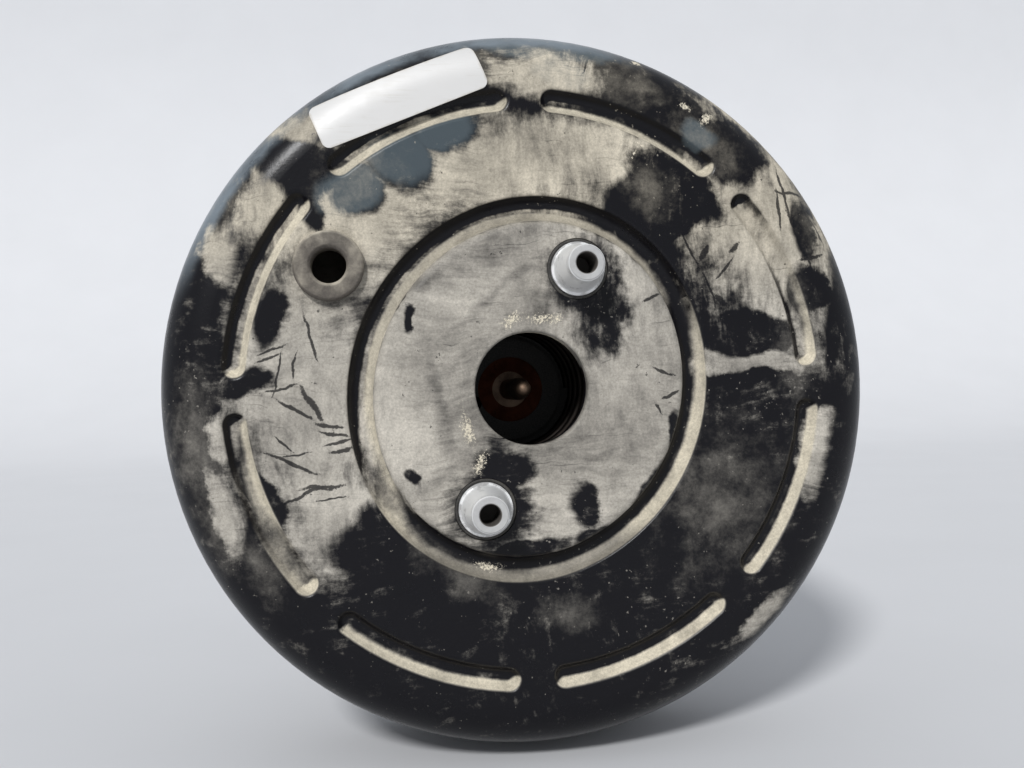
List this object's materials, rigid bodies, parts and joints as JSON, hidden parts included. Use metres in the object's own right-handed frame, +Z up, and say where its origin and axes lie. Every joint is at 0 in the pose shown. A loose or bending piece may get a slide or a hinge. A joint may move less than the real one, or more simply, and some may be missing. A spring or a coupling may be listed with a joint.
{
  "type": "brake booster",
  "caption": "Round vacuum brake booster with a ribbed front shell, threaded spigots, a vacuum grommet, an output push rod and a pedal rod with a clevis behind.",
  "frame": {"origin": "on the booster's axis, in the plane of the rear mounting face that seats on the bulkhead", "axes": "+Y along the axis towards the pedal, -Y out of the front face towards the master cylinder, +Z up"},
  "size_m": [0.284, 0.2757, 0.284],
  "materials": {
    "black_paint": "gloss, dusty",
    "grey_rubber": "matt",
    "black_rubber": "matt",
    "zinc_steel": "zinc plated",
    "plain_steel": "satin",
    "rusty_steel": "dull",
    "spring_steel": "satin",
    "hub_plastic": "moulded",
    "bearing_plastic": "moulded",
    "filter_foam": "open-cell foam"
  },
  "bodies": {
    "housing": {"front_shell": "black_paint", "rear_shell": "black_paint", "vacuum_grommet": "grey_rubber", "tie_bolts": "zinc_steel", "tie_bolt_front_seals": "black_rubber", "tie_bolt_rear_seals": "black_rubber", "tie_bolt_nuts": "zinc_steel", "diaphragm": "black_rubber", "return_spring": "spring_steel", "guide_bearing": "bearing_plastic", "rear_seal": "black_rubber", "seal_retainer": "plain_steel", "dust_boot": "black_rubber"},
    "power_piston": {"valve_body": "hub_plastic", "diaphragm_plate": "plain_steel", "diaphragm_ring": "hub_plastic", "tie_bolt_sleeves": "black_rubber", "reaction_disc": "black_rubber", "output_rod": "plain_steel", "output_rod_ring": "rusty_steel", "stop_key": "plain_steel", "poppet_valve": "black_rubber", "poppet_retainer": "plain_steel", "poppet_spring": "spring_steel", "input_return_spring": "spring_steel", "air_filter": "filter_foam", "filter_cap": "hub_plastic"},
    "control_plunger": {"control_plunger": "plain_steel"},
    "input_rod": {"input_rod": "zinc_steel", "spring_seat": "plain_steel", "lock_nut": "zinc_steel", "clevis": "zinc_steel"}
  },
  "joints": [
    {"name": "power_piston_stroke", "type": "slide", "parent": "housing", "child": "power_piston", "axis": [0, -1, 0], "range_m": [0, 0.034], "stiffness_N_per_m": 2500, "springref_m": -0.03, "deforming": ["return_spring", "diaphragm", "dust_boot"]},
    {"name": "plunger_travel", "type": "slide", "parent": "power_piston", "child": "control_plunger", "axis": [0, -1, 0], "range_m": [0, 0.0016], "stiffness_N_per_m": 5000, "springref_m": -0.008, "deforming": ["input_return_spring", "poppet_valve", "poppet_spring"]},
    {"name": "input_rod_swing", "type": "hinge", "parent": "control_plunger", "child": "input_rod", "pos_m": [0, -0.018, 0], "axis": [1, 0, 0], "range_deg": [-2.5, 2.5], "stiffness_Nm_per_rad": 30, "deforming": ["input_return_spring", "dust_boot"]}
  ]
}
